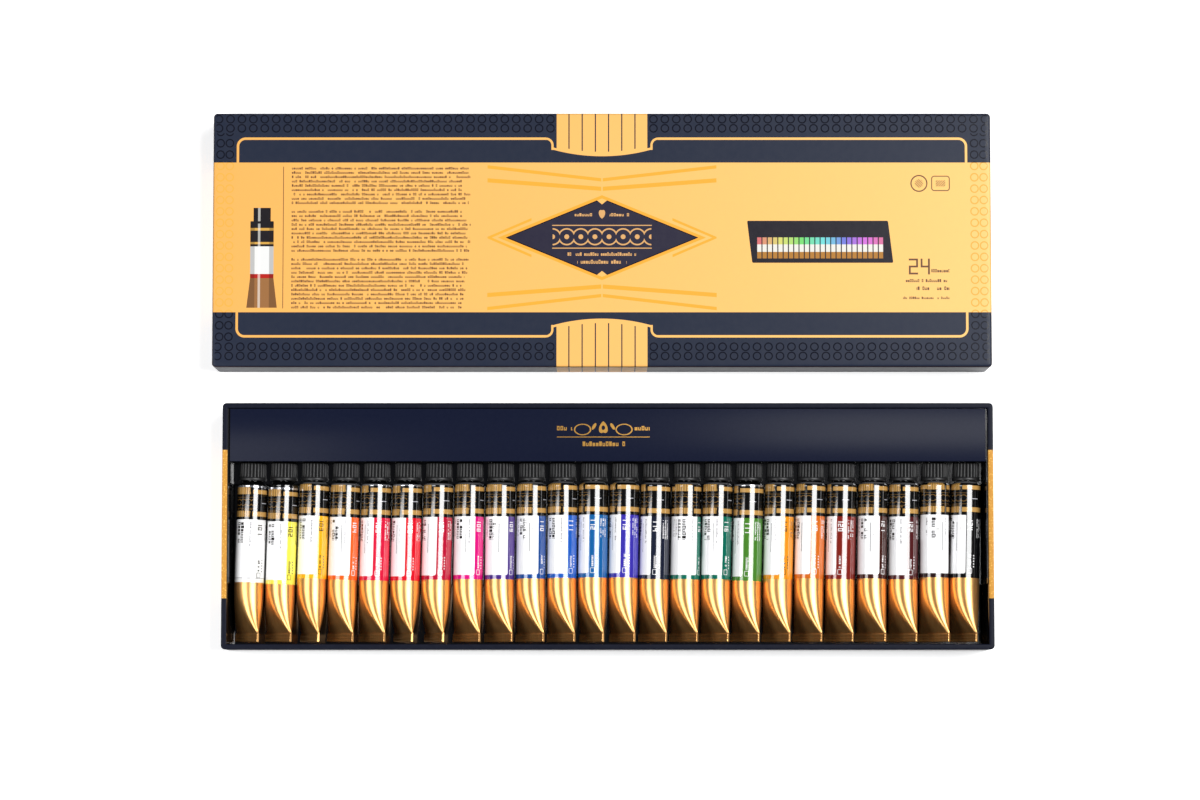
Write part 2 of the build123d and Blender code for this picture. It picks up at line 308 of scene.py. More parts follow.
def gold_frame(off_centre, off_band):
    """The frame line, its hooks in to the tabs at the long sides, and the striped tabs."""
    turn_y, drop_x = FRAME_Y - HOOK_RADIUS, HOOK_X - HOOK_RADIUS
    tab_arc = length(off_centre, off_band - (TAB_TIP + TAB_RADIUS)) - TAB_RADIUS
    line = abs(box_distance(off_centre, off_band, FRAME_X, FRAME_Y, FRAME_CORNER)) < FRAME_LINE
    turn = abs(length(off_centre - HOOK_X, off_band - turn_y) - HOOK_RADIUS) < HOOK_LINE
    turn = turn & (off_centre < HOOK_X) & (off_band > turn_y)
    drop = off_centre.near(drop_x, HOOK_LINE) & off_band.within(HOOK_FOOT, turn_y)
    sweep = tab_arc.within(-2 * HOOK_LINE, 0.0) & (off_centre < drop_x + HOOK_LINE)
    stripes = abs((off_centre - STRIPE_PITCH / 2).in_cell(STRIPE_PITCH)) > STRIPE_PITCH / 2 - STRIPE_LINE
    stripes = stripes & (tab_arc < -STRIPES_START) & (off_centre < STRIPES_HALF)
    tab = (off_centre < TAB_HALF) & (tab_arc < 0.0) & ~stripes
    return (line & (off_centre > HOOK_X)) | turn | drop | sweep | tab


RING_PITCH, RING_ROW, RING_RADIUS, RING_LINE = 5.2, 4.2, 1.7, 0.27
BORDER_X, BORDER_Y, TOP_ONLY = 167.1, 47.8, 0.3


def ring_rows(along, across, start):
    """Two rows of separate rings, from a distance across."""
    off_ring = length(along.in_cell(RING_PITCH), (across - start).in_cell(RING_ROW)) - RING_RADIUS
    return (abs(off_ring) < RING_LINE) & across.within(start, start + 2 * RING_ROW)


DIAMOND_Y, DIAMOND_HALF, DIAMOND_SLOPE = 1.0, 18.0, 0.411
TIP_Y, TIP_SLOPE = 15.2, 0.8
FAN_START, FAN_END = 0.35, 52.0
# Each pair of rays' rise at the middle, slope and half width
FAN_RAYS = ((22.3, 0.075, 0.95), (26.4, 0.115, 0.75))
CHEVRON_START, CHEVRON_LOW, CHEVRON_HIGH, CHEVRON_SLOPE = 32.0, 21.5, 22.7, 0.43


def fan_rays(off_centre, off_axis):
    """Pairs of rays that spread to both sides behind the diamond, and a chevron beyond its points."""
    chevron = (off_axis + off_centre * CHEVRON_SLOPE).within(CHEVRON_LOW, CHEVRON_HIGH)
    rays = chevron & off_centre.within(CHEVRON_START, FAN_END)
    for rise, slope, half in FAN_RAYS:
        ray = (off_axis - rise - off_centre * slope).near(0.0, half)
        rays = rays | (ray & off_centre.within(FAN_START, FAN_END))
    return rays


TEXT_SHIFT = 50.0
LINK_PITCH, LINK_RADIUS, LINK_LINE, LINK_DOT = 6.4, 3.6, 0.33, 1.1
CHAIN_Y, CHAIN_HALF = 0.4, 22.4
RULE_HIGH, RULE_LOW, RULE_LINE, RULE_HALF = 5.6, -4.8, 0.22, 22.6
DROP_Y, DROP_RADIUS = 10.6, 1.9


def diamond_ornament(x, y):
    """A chain of rings between two rules, with a drop and small print above and small print below."""
    off_centre, text_x = abs(x), x + TEXT_SHIFT
    off_link = length(x.in_cell(LINK_PITCH), y - CHAIN_Y)
    chain = ((abs(off_link - LINK_RADIUS) < LINK_LINE) | (off_link < LINK_DOT)) & (off_centre < CHAIN_HALF)
    rules = (y.near(RULE_HIGH, RULE_LINE) | y.near(RULE_LOW, RULE_LINE)) & (off_centre < RULE_HALF)
    drop = length(x * 1.3, y - DROP_Y - off_centre * 0.5) < DROP_RADIUS
    letters = small_print(text_x, y, -8.9, 1, 2.6, 0.95, 3) & (off_centre < 15.6)
    letters = letters | (small_print(text_x, y, -12.6, 1, 3.0, 1.15, 4) & (off_centre < 11.2))
    letters = letters | (small_print(text_x, y, 9.2, 1, 2.4, 1.2, 5) & off_centre.within(3.4, 12.4))
    return chain | rules | drop | letters


COLUMN_LEFT, COLUMN_WIDTH, RAGGED, COLUMN_PITCH, COLUMN_LETTER = -141.0, 82.0, 5.0, 1.98, 0.86
COLUMN_RULE_X, COLUMN_RULE_LINE, COLUMN_FOOT, COLUMN_TOP = -144.7, 0.16, -31.3, 33.5
# Each block's top, number of lines and seed
COLUMN_BLOCKS = ((33.7, 9, 11), (13.9, 10, 12), (-8.0, 12, 13))


def print_column(x, y):
    """Three blocks of small print with a ragged right side, and an upright rule at their left."""
    column = x.near(COLUMN_RULE_X, COLUMN_RULE_LINE) & y.within(COLUMN_FOOT, COLUMN_TOP)
    text_x = x - COLUMN_LEFT
    for top, lines, seed in COLUMN_BLOCKS:
        bottom = top - lines * COLUMN_PITCH
        line = (y - bottom).cell(COLUMN_PITCH)
        right = COLUMN_WIDTH - line.chance(line, seed) * RAGGED
        block = small_print(text_x, y, bottom, lines, COLUMN_PITCH, COLUMN_LETTER, seed)
        column = column | (block & text_x.within(0.0, right))
    return column


RING_MARK_X, BOX_MARK_X, MARKS_Y = 144.0, 153.8, 25.8
HATCH_PITCH, HATCH_START = 1.1, 0.1
NUMBER_X, NUMBER_Y, NUMBER_HEIGHT, NUMBER_STROKE = 139.6, -15.4, 6.4, 0.85
CORNER_TEXT_END = 157.6
# Each line's foot, pitch, width of letter, seed and left end
CORNER_TEXT = (
    (-15.5, 2.6, 1.0, 21, 149.4), (-19.9, 2.4, 0.9, 22, 137.6),
    (-23.6, 2.8, 1.1, 23, 142.6), (-27.5, 1.9, 0.8, 24, 136.4),
)


def corner_marks(x, y):
    """A ring and a box around hatched patches, the number of tubes, and four lines of small print."""
    off_ring = length(x - RING_MARK_X, y - MARKS_Y)
    marks = (abs(off_ring - 3.6) < 0.28) | ((off_ring < 1.9) & ((x + y).in_cell(HATCH_PITCH) > HATCH_START))
    box_x, box_y = x - BOX_MARK_X, y - MARKS_Y
    marks = marks | (abs(box_distance(box_x, box_y, 4.0, 3.3, 1.2)) < 0.22)
    patch = (box_distance(box_x, box_y, 2.2, 1.4, 0.3) < 0.0) & ((x - y).in_cell(HATCH_PITCH) > HATCH_START)
    number = numerals(str(TUBE_COUNT), x - NUMBER_X, y - NUMBER_Y, NUMBER_HEIGHT, NUMBER_STROKE)
    marks = marks | patch | number
    for bottom, pitch, letter, seed, left in CORNER_TEXT:
        letters = small_print(x, y, bottom, 1, pitch, letter, seed)
        marks = marks | (letters & x.within(left, CORNER_TEXT_END))
    return marks


PANEL_X, PANEL_Y, PANEL_LEAN = 99.0, -0.9, 0.12
BAR_PITCH, BAR_HALF, BAR_LOW, BAR_HIGH = 2.4, 0.95, -7.6, 2.0
BAR_WHITE_LOW, BAR_WHITE_HIGH, HUE_STEP = -4.6, -1.2, 0.041


def panel_inks(x, y):
    """A small picture of the open set: a dark panel with a row of coloured bars."""
    x, y = x - PANEL_X, y - PANEL_Y
    row_half = TUBE_COUNT / 2 * BAR_PITCH
    panel = box_distance(x + y * PANEL_LEAN, y, 32.0, 9.6, 0.6) < 0.0
    hue = (x + row_half).cell(BAR_PITCH) * HUE_STEP
    in_row = (abs(x) < row_half) & y.within(BAR_LOW, BAR_HIGH)
    bars = (abs((x + row_half).in_cell(BAR_PITCH)) < BAR_HALF) & in_row
    return (
        (panel, rgb(30, 27, 36)), (bars, hue.node("CombineColor", 0.75, 0.62, mode="HSV")),
        (bars & y.within(BAR_WHITE_LOW, BAR_WHITE_HIGH), rgb(224, 222, 214)),
        (bars & (y < BAR_WHITE_LOW), rgb(172, 118, 50)),
    )


PICTURE_X, PICTURE_Y, PICTURE_HALF = -154.3, -31.0, 5.3
TAIL_TOP, PAINT_TOP, LABEL_TOP, BODY_TOP, CAP_FOOT, CAP_TOP = 13.5, 15.4, 28.0, 38.4, 39.5, 45.6


def picture_inks(x, y):
    """A small picture of one tube, cap upwards, with a dark edge and a line of shine."""
    side, up = abs(x - PICTURE_X), y - PICTURE_Y
    cap = (side < 3.9) & up.within(CAP_FOOT, CAP_TOP)
    neck = (side < 44.6 - up) & (side < PICTURE_HALF) & up.within(37.5, CAP_FOOT)
    body = (side < PICTURE_HALF) & up.within(0.0, BODY_TOP)
    tail = (side < PICTURE_HALF + (TAIL_TOP - up) * 0.12) & up.within(0.0, TAIL_TOP)
    gold_lines = up.within(29.0, 30.0) | up.within(35.2, 36.4)
    whole = cap | body | tail
    return (
        (body & up.within(PAINT_TOP, LABEL_TOP), rgb(226, 226, 224)), (tail, rgb(150, 104, 62)),
        (body & up.within(TAIL_TOP, PAINT_TOP), rgb(176, 34, 26)),
        (cap | neck | (body & (up > LABEL_TOP)), rgb(28, 26, 30)), (body & gold_lines, rgb(206, 158, 72)),
        ((whole & (side > 3.3)) * 0.4, rgb(34, 22, 16)),
        ((whole & x.near(-155.6, 0.55)) * 0.4, rgb(250, 246, 236)),
    )


lid_print = Finish("lid_print")
x, y, z = lid_print.where()
x, y = x - lid_x, y - lid_y
off_centre, off_band = abs(x), abs(y - BAND_MIDDLE)
band = off_band < BAND_HALF
gold = band | gold_frame(off_centre, off_band)

border = ring_rows(x, off_band, BORDER_Y) & off_centre.within(TAB_HALF + 1.0, BORDER_X + 8.3)
border = border | (ring_rows(y, off_centre, BORDER_X) & (off_band < BORDER_Y - 0.2))
border = border & (z > lid_high.z - TOP_ONLY)

diamond_y = y - DIAMOND_Y
off_axis = abs(diamond_y)
spread = off_centre * DIAMOND_SLOPE + off_axis
diamond = (spread < DIAMOND_HALF) & ~((off_axis - TIP_Y) > off_centre * TIP_SLOPE)
amber = (fan_rays(off_centre, off_axis) | spread.within(DIAMOND_HALF - 0.1, DIAMOND_HALF + 1.4)) & band

SHEEN_LENGTH, FOLD_SHADE_START, FOLD_SHADE_END = 350.0, 0.35, 1.6
paper_mottle = lid_print.grain(3.0)
# Painted sheen: the gold print is painted lighter towards the right end, where the light falls on it more
# brightly
painted_sheen = (x / SHEEN_LENGTH + 0.5).math("MAXIMUM", 0.0)
# Painted shade: the fold round the top edge is painted dark brown, for the shade on its turn
fold_shade = z.within(lid_high.z - FOLD_SHADE_END, lid_high.z - FOLD_SHADE_START)
colour = layered(
    LID_NAVY,
    # gold with painted sheen, lighter towards the right end
    (gold, inked(painted_sheen, rgb(236, 173, 90), rgb(250, 197, 116))),
    (amber, rgb(244, 168, 56)),
    (border & gold, rgb(236, 170, 74)),
    (border & ~gold, rgb(13, 16, 28)),
    (diamond, rgb(40, 38, 56)),
    (diamond & (spread > DIAMOND_HALF - 0.5), rgb(14, 12, 22)),
    (diamond_ornament(x, diamond_y) & diamond, rgb(214, 164, 104)),
    (print_column(x, y) | corner_marks(x, y), rgb(104, 72, 50)),
    *panel_inks(x, y),
    *picture_inks(x, y),
    (paper_mottle * 0.05, rgb(110, 104, 104)),
    # painted shade on the fold round the top edge
    (fold_shade * 0.55, rgb(60, 34, 16)),
)
satin, gloss = paper_mottle * 0.06 + 0.28, 0.14
lid_print.give(Base_Color=colour, Roughness=blended(border, satin, gloss))
lid_print.give(IOR=PAPER_IOR, Specular_IOR_Level=0.14)
lid_print.bump(paper_mottle, 0.02)


def piece(name, body, material, replaced):
    """An empty mesh object that rides on a body in place of a node, and the bmesh to fill it with."""
    made = bpy.data.objects.new(name, bpy.data.meshes.new(name))
    bpy.context.scene.collection.objects.link(made)
    made.data.materials.append(material)
    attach(made, body)
    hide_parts(replaced)
    return made, bmesh.new()


def finished(made, shape, sharp=35):
    """Writes the built shape into the piece, smooth but for edges sharper than the angle."""
    bmesh.ops.recalc_face_normals(shape, faces=shape.faces)
    for face in shape.faces:
        face.smooth = True
    shape.to_mesh(made.data)
    shape.free()
    made.data.set_sharp_from_angle(angle=math.radians(sharp))


def ring_edges(shape, corners, around):
    """The edges from each corner to the next, new ones where there are none."""
    beside = corners[1:] + corners[:1] if around else corners[1:]
    return [shape.edges.get(pair) or shape.edges.new(pair) for pair in zip(corners, beside)]


def joined_rings(shape, rings, around=True):
    """Extrudes a ring of points, in millimetres, to each of the next. Returns the rings of vertices."""
    made = [[shape.verts.new(Vector(point) * MM) for point in rings[0]]]
    for ring in rings[1:]:
        grown = bmesh.ops.extrude_edge_only(shape, edges=ring_edges(shape, made[-1], around))["geom"]
        fresh = {part for part in grown if isinstance(part, bmesh.types.BMVert)}
        corners = []
        for old, point in zip(made[-1], ring):
            others = [edge.other_vert(old) for edge in old.link_edges]
            corner = next(vertex for vertex in others if vertex in fresh)
            corner.co = Vector(point) * MM
            corners.append(corner)
        made.append(corners)
    return made


CORNER, SMALLEST_CORNER, CORNER_STEPS = 1.8, 0.05, 6


def rounded_ring(low, high, inset, height):
    """The points of a rectangle with round corners, drawn in from low and high by inset."""
    points = []
    corner = max(CORNER - inset, SMALLEST_CORNER)
    for quarter in range(4):
        sign_x = (1, -1, -1, 1)[quarter]
        sign_y = (1, 1, -1, -1)[quarter]
        centre_x = (high[0] if sign_x > 0 else low[0]) - sign_x * (inset + corner)
        centre_y = (high[1] if sign_y > 0 else low[1]) - sign_y * (inset + corner)
        for step in range(CORNER_STEPS + 1):
            turn = math.pi / 2 * (quarter + step / CORNER_STEPS)
            points.append((centre_x + corner * math.cos(turn), centre_y + corner * math.sin(turn), height))
    return points


def wrapped_walls(shape, low, high, profile):
    """Four walls with round corners. The profile gives how far in and how high each ring runs."""
    return joined_rings(shape, [rounded_ring(low, high, inset, height) for inset, height in profile])


def arc(radius, start, end, steps):
    """Points around a fold, from the start angle to the end angle in degrees."""
    turns = [math.radians(start + (end - start) * step / steps) for step in range(steps + 1)]
    return [(radius * math.cos(turn), radius * math.sin(turn)) for turn in turns]


FOLD, PAPER, WALL, TURN_IN, RIM_GAP = 1.2, 0.2, 1.9, 14.0, 0.02
lid_shell, shape = piece("lid_shell", "lid", lid_print.material, "lid_wrap")
top = lid_high.z
profile = [(30.0, top), (6.0, top), (2.6, top)]
profile += [(FOLD - inward, top - FOLD + rise) for inward, rise in arc(FOLD, 90, 0, 5)]
profile += [(0.0, 12.0), (0.0, RIM_GAP)]
outside = wrapped_walls(shape, lid_low, lid_high, profile)
shape.faces.new(outside[0])
turned_in = [(WALL - PAPER, RIM_GAP), (WALL, RIM_GAP), (WALL, TURN_IN), (WALL - PAPER, TURN_IN)]
wrapped_walls(shape, lid_low, lid_high, turned_in)
finished(lid_shell, shape)


def board_finish(name, rim_low):
    """Raw grey board, with navy paper on the rim that it is turned around."""
    made = Finish(name)
    _, _, height = made.where()
    fibres = made.grain(1.2, (1, 1, 4))
    shade = inked(fibres, rgb(134, 126, 114), rgb(168, 160, 146))
    made.give(Base_Color=inked(height < rim_low, shade, LID_NAVY), Roughness=0.85)
    made.bump(fibres, 0.05)
    return made.material


def paper_finish(name, size, darker, lighter, roughness, depth):
    """Plain paper with a fine grain between two near colours."""
    made = Finish(name)
    grain = made.grain(size)
    made.give(Base_Color=inked(grain, darker, lighter), Roughness=roughness)
    made.bump(grain, depth)
    return made.material


def dressed(node, material):
    """Gives a part of the frame its material."""
    slots = frame["nodes"][node].data.materials
    slots.clear()
    slots.append(material)


dressed("lid_board", board_finish("lid_board", 0.1))
dressed("lid_liner", paper_finish("lining_paper", 0.8, rgb(228, 226, 218), rgb(242, 241, 236), 0.8, 0.03))


# The tray.
# The same board and paper, open upwards, with plain paper under it. The printed paper is turned over
# the rim and down inside, and the gold band crosses both ends.

tray_low, tray_high = extent("tray_wrap")
RIM_ROUND, RIM_WIDTH, RIM_DEPTH, RIM_STEP = 0.5, 2.4, 1.6, 0.15
END_BAND_LOW, END_BAND_HIGH = tray_high.y - 88.4, tray_high.y - 21.3

tray_print = Finish("tray_print")
x, y, z = tray_print.where()
on_end = (abs(x) > (tray_high.x - RIM_WIDTH)) & y.within(END_BAND_LOW, END_BAND_HIGH)
mottle = tray_print.grain(2.0)
sparkle = tray_print.grain(0.7, (1, 1, 1), 1.0) > 0.62
tray_gold = inked(sparkle, rgb(206, 146, 58), rgb(240, 192, 100))
colour = layered(rgb(13, 17, 32), (on_end, tray_gold), (mottle * 0.06, rgb(90, 92, 104)))
tray_print.give(Base_Color=colour, Roughness=mottle * 0.1 + 0.36, IOR=PAPER_IOR, Specular_IOR_Level=0.1)
tray_print.bump(mottle, 0.03)

tray_shell, shape = piece("tray_shell", "tray", tray_print.material, "tray_wrap")
rim = tray_high.z
round_top = rim - RIM_ROUND
profile = [(0.0, PAPER), (0.0, 10.0)]
profile += [(RIM_ROUND + inward, round_top + rise) for inward, rise in arc(RIM_ROUND, 180, 90, 4)]
profile += [(RIM_WIDTH - RIM_ROUND + inward, round_top + rise) for inward, rise in arc(RIM_ROUND, 90, 0, 4)]
profile += [(RIM_WIDTH, rim - RIM_DEPTH), (WALL, rim - RIM_DEPTH - RIM_STEP)]
profile += [(WALL, rim - TURN_IN), (WALL - PAPER, rim - TURN_IN)]
wrapped_walls(shape, tray_low, tray_high, profile)
finished(tray_shell, shape)

dressed("tray_board", board_finish("tray_board", -1.0))
dressed("tray_base_paper", paper_finish("base_paper", 1.5, rgb(28, 33, 52), rgb(40, 45, 64), 0.5, 0.02))


# The insert.
# One thin sheet of gloss black plastic drawn over a form: a flat top, a deep channel for the folded
# ends, a cradle for each tube and a pocket for each cap. Every edge is rounded by the drawing.

RADIUS, ROUND_LENGTH = 6.75, 43.2
NUMBERS = [f"{number:02d}" for number in range(1, TUBE_COUNT + 1)]
turns = {joint["name"]: joint for joint in frame["joints"]}
shoulders = []
for number in NUMBERS:
    joint = turns[f"cap_{number}_turn"]
    along = Vector(joint["axis"]).normalized()
    across = Vector((along.y, -along.x, 0))
    shoulders.append((Vector(joint["pos_m"]) / MM, along, across))

insert_low, insert_high = extent("insert")
PLATEAU = insert_high.z
SEAT = insert_low.z
AXIS_HEIGHT = shoulders[0][0].z
SHOULDER_Y = shoulders[0][0].y
PITCH = shoulders[1][0].x - shoulders[0][0].x
ROW_MIDDLE = (shoulders[0][0].x + shoulders[-1][0].x) / 2
ROW_HALF = TUBE_COUNT * PITCH / 2
LEAN_SHIFT = sum(along.x for _, along, _ in shoulders) / TUBE_COUNT * ROUND_LENGTH / 2

BAY_HALF = ROW_HALF + 1.0
CHANNEL_FLOOR = SEAT + 0.4
CRADLE_FLOOR = AXIS_HEIGHT - RADIUS - 0.3
CRADLE_RIDGE = AXIS_HEIGHT - 4.3
CAP_RIDGE = AXIS_HEIGHT - 1.0
CHANNEL_START = insert_low.y + 0.4
CRADLE_START = SHOULDER_Y - ROUND_LENGTH - 1.5
POST_START = SHOULDER_Y + 0.7
GATE_END = SHOULDER_Y + 2.0
POCKET_END = SHOULDER_Y + 10.7
CRADLE_HALF, CRADLE_DRAFT = 5.51, 18
POCKET_HALF, POCKET_DRAFT = 5.61, 9
WALL_DRAFT = 5
GATE_INSET, GATE_NARROWING = 0.17, 1.36
CROWN_HALF, CROWN_CURVE, CROWN_SLOPE = 0.48, 0.22, 0.08
EDGE_REACH, EDGE_STEPS = 0.2, (-1.0, -0.5, 0.0, 0.5, 1.0)
EDGE_DROP = 0.1


def wall_up(distance, floor, draft):
    """The height of a sloping wall, at a distance outside the foot of it."""
    return floor + max(distance, 0.0) / math.tan(math.radians(draft))


def formed_height(x, y):
    """The height of the form under the sheet at one point."""
    if y < CHANNEL_START or y > POCKET_END:
        return PLATEAU
    outward = abs(x) - BAY_HALF
    if y < CRADLE_START:
        return min(PLATEAU, wall_up(outward, CHANNEL_FLOOR, WALL_DRAFT))
    if y < POST_START:
        beside = (x - ROW_MIDDLE + LEAN_SHIFT + ROW_HALF) % PITCH - PITCH / 2
        pocket = wall_up(abs(beside) - CRADLE_HALF, CRADLE_FLOOR, CRADLE_DRAFT)
        ridge = CRADLE_RIDGE
    else:
        beside = (x - ROW_MIDDLE + ROW_HALF) % PITCH - PITCH / 2
        progress = (y - POST_START) / (GATE_END - POST_START)
        narrowing = GATE_INSET + GATE_NARROWING * progress if y < GATE_END else 0.0
        pocket = wall_up(abs(beside) - (POCKET_HALF - narrowing), CRADLE_FLOOR, POCKET_DRAFT)
        ridge = CAP_RIDGE
    off_ridge = PITCH / 2 - abs(beside)
    crowned = ridge - CROWN_CURVE * min(off_ridge, CROWN_HALF) ** 2
    crowned -= CROWN_SLOPE * max(off_ridge - CROWN_HALF, 0.0)
    floor = min(crowned, pocket) if abs(x - ROW_MIDDLE) < ROW_HALF else ridge
    return min(PLATEAU, max(floor, wall_up(outward, ridge, WALL_DRAFT)))


def sheet_height(x, y):
    """The height averaged over the small round that a thin sheet makes of every edge."""
    total = 0.0
    for step_x in EDGE_STEPS:
        for step_y in EDGE_STEPS:
            total += formed_height(x + step_x * EDGE_REACH, y + step_y * EDGE_REACH)
    return total / len(EDGE_STEPS) ** 2


# Lines of the sheet's net, close together wherever the form bends
columns = {insert_low.x, insert_high.x}
for side in (-1, 1):
    for outward in (-0.6, -0.3, 0.0, 0.3, 0.6, 0.9, 1.2, 1.5, 1.8):
        columns.add(side * (BAY_HALF + outward))
for place in range(TUBE_COUNT):
    middle = ROW_MIDDLE + (place - (TUBE_COUNT - 1) / 2) * PITCH
    for offset in (0.0, 2.2, 4.0, 4.7, 5.2, 5.6, 5.9, 6.2, 6.4, 6.52, 6.62, 6.72, 6.86, 7.05):
        columns.add(round(middle + offset, 3))
        columns.add(round(middle - offset, 3))
columns = [column for column in sorted(columns) if insert_low.x <= column <= insert_high.x]
rows = {insert_low.y, insert_high.y, (POCKET_END + insert_high.y) / 2, (CHANNEL_START + CRADLE_START) / 2}
rows |= {-10.0, 5.0, POST_START + 1.0, SHOULDER_Y + 6.0}
rows |= {GATE_END + offset for offset in (-0.4, -0.1, 0.1, 0.4)}
for bend in (CHANNEL_START, CRADLE_START, POST_START, POCKET_END):
    rows |= {bend + offset for offset in (-0.45, -0.25, -0.08, 0.08, 0.25, 0.45, 0.8)}
rows = [row for row in sorted(rows) if insert_low.y <= row <= insert_high.y]

insert_gloss = Finish("insert_gloss")
swirl = insert_gloss.grain(9.0, (1, 3, 1), 2.0)
colour = inked(swirl, rgb(7, 7, 9), rgb(13, 13, 15))
insert_gloss.give(Base_Color=colour, Roughness=swirl * 0.07 + 0.07, IOR=1.8)
insert_gloss.bump(swirl, 0.06)

insert_sheet, shape = piece("insert_sheet", "tray", insert_gloss.material, "insert")
net = [[(column, row, sheet_height(column, row)) for column in columns] for row in rows]
net[0] = [(column, row, PLATEAU - EDGE_DROP) for column, row, _ in net[0]]
feet = [[(column, row, SEAT) for column, row, _ in edge] for edge in (net[0], net[-1])]
joined_rings(shape, [feet[0], *net, feet[1]], around=False)
finished(insert_sheet, shape, 50)


# The header card.
# Satin navy card with a small ornament in gold foil, cut to lie flat on the insert behind the caps.

card_low, card_high = extent("header_card")
card_x, card_y = (card_low.x + card_high.x) / 2, (card_low.y + card_high.y) / 2
ORNAMENT_X, ORNAMENT_Y = card_x - 2.0, card_y + 0.5
CARD_EDGE = 0.12


def foil_ornament(x, y):
    """A drop between two leaves and two rings, over a rule, with small print beside and below."""
    side, text_x = abs(x), x + TEXT_SHIFT
    leaf_x, leaf_y = side - 4.2, y - 3.4
    rings = abs(length(side - 9.4, y * 1.5 - 3.0) - 3.6) < 0.32
    leaves = length(leaf_x * 1.4 + leaf_y * 0.9, leaf_y * 0.55 - leaf_x * 0.4) < 1.15
    drop = (length(x * 1.25, y - 3.2 + side * 0.6) < 2.5) & ~(length(x * 1.25, y - 2.8) < 1.0)
    rule = y.near(-1.4, 0.17) & (side < 21.0)
    below = small_print(text_x, y, -6.4, 1, 3.6, 1.5, 31) & (side < 9.8)
    beside = small_print(text_x, y, 0.8, 1, 3.4, 1.6, 32) & side.within(14.0, 21.0)
    return rings | leaves | drop | rule | below | beside


card_print = Finish("card_print")
x, y, z = card_print.where()
foil = foil_ornament(x - ORNAMENT_X, y - ORNAMENT_Y) & (z > card_high.z - TOP_ONLY)
card_grain = card_print.grain(1.4)
colour = layered(rgb(18, 23, 43), (card_grain * 0.2, rgb(38, 42, 60)), (foil, rgb(196, 148, 74)))
card_print.give(Base_Color=colour, Roughness=0.3, Metallic=foil * 0.6, IOR=PAPER_IOR, Specular_IOR_Level=0.07)
card_print.bump(card_grain, 0.015)

header, shape = piece("header", "tray", card_print.material, "header_card")
bmesh.ops.create_cube(shape, size=1.0)
middle, size = (card_low + card_high) / 2, card_high - card_low
for vertex in shape.verts:
    vertex.co = Vector([middle[axis] + vertex.co[axis] * size[axis] for axis in range(3)]) * MM
edges, offset = list(shape.edges), CARD_EDGE * MM
bmesh.ops.bevel(shape, geom=edges, offset=offset, segments=2, profile=0.5, affect="EDGES", material=-1)
finished(header, shape)


# The tubes.
# Thin aluminium with a gold lacquer, printed black at the shoulder and with a label lower down.
# The tube is round as far as the label's end, then pressed flat with no change of girth and folded.

FLAT_LENGTH, CRIMP_LENGTH = 23.7, 3.9
GIRTH = 2 * math.pi * RADIUS
TILTS = [57, 53, 64, 54, 54, 65, 65, 54, 53, 53, 54, 60, 58, 55, 55, 54, 55, 56, 55, 55, 54, 55, 53, 60]
COLOURS = [
    (238, 238, 236), (250, 236, 84), (252, 184, 22), (242, 98, 22), (222, 24, 62), (224, 14, 36),
    (188, 16, 52), (224, 14, 128), (74, 42, 132), (22, 74, 150), (28, 92, 190), (18, 96, 162),
    (58, 48, 170), (24, 30, 50), (4, 108, 88), (4, 104, 84), (72, 130, 42), (238, 150, 26),
    (214, 108, 24), (128, 32, 22), (66, 26, 18), (80, 26, 28), (40, 20, 20), (9, 9, 11),
]
LABEL_TURNS = [25, 22, 19, 31, -3, 0, 1, 27, 34, 31, 20, -18, -13, -16, 47, 22, -20, 4, 1, -22, 26, 9, 64, -2]
PRINT_SHIFTS = [-1.3, -2.2, 0.4, -0.2, -0.5, -0.6, -0.2, 0.1, 0.1, 0.4, 0.7, 0.9]
PRINT_SHIFTS += [0.9, 0.1, 0.1, 0.1, -0.7, 0.1, 0.4, 0.1, 0.4, 0.0, 0.9, 0.7]
PRINT_START, FOOT_LINE, FOOT_LINE_DOWN = 0.6, 0.14, 41.3
# A tube's marks are dark where its red, green and blue add up to more than this, and its green is more
PALE_SUM, PALE_GREEN = 380, 90

BLACK_END = 14.8
LABEL_HALF, LABEL_MIDDLE, LABEL_REACH = 8.6, 26.3, 15.0
TEXT_TOP = 16.0
TAB_X, TAB_REACH, TAB_STRIPE = -7.5, 4.3, 1.15


def label_print(run, down, seed):
    """The label's bold print and rule, and its faint print."""
    rule = run.near(-4.35, 0.11) & down.within(18.0, 31.0)
    bold = small_print(down - TEXT_TOP, run, -9.6, 2, 2.0, 1.5, seed, 0.1, 0.82) & down.within(TEXT_TOP, 25.4)
    faint = small_print(down - TEXT_TOP, run, -3.3, 1, 1.3, 0.7, seed + 1.0) & down.within(TEXT_TOP, 27.0)
    low_faint = small_print(down, run, -12.6, 2, 1.4, 0.7, seed + 2.0) & down.within(16.2, 24.0)
    return bold | rule, faint | low_faint


def segment_lit(place, bar):
    """The dial that says whether one stroke of the number is printed."""
    return tube_print.dial(f"lit_{place}{bar}", 1.0)


def side_marks(run, down, seed):
    """The number, a boxed mark, a row of dots and small print, beside the label."""
    number = numerals("188", down - 16.4, run - 1.05, 1.9, 0.42, segment_lit)
    series = small_print(down, run, 1.3, 1, 1.5, 0.85, seed + 1.0, 0.16, 0.72) & down.within(32.6, 38.2)
    box = abs(box_distance(run - 2.0, down - 40.0, 0.95, 1.1, 0.3)) < 0.12
    dots = (length(run - 3.9, down.in_cell(1.25)) < 0.34) & down.within(32.4, 38.8)
    letters = small_print(down, run, 5.2, 3, 1.3, 0.8, seed + 2.0) & down.within(16.4, 25.0)
    return number | series | box | dots | letters


def gold_bands(run, down):
    """Two gold bands around the black shoulder, with a wider striped tab in each and a gap beside it."""
    tab = run.near(TAB_X, TAB_REACH)
    gap = run.near(-2.9, 0.9) & ~(length(run + 4.6, (down - 7.2) * 0.28) < 2.0)
    bands = down.within(1.3, 3.15) | down.within(11.2, 13.3)
    tab_bands = down.within(0.25, 3.4) | down.within(10.9, 13.6)
    stripes = abs((run - TAB_X).in_cell(TAB_STRIPE)) < 0.1
    return (bands & ~gap & ~tab) | (tab_bands & tab & ~stripes)


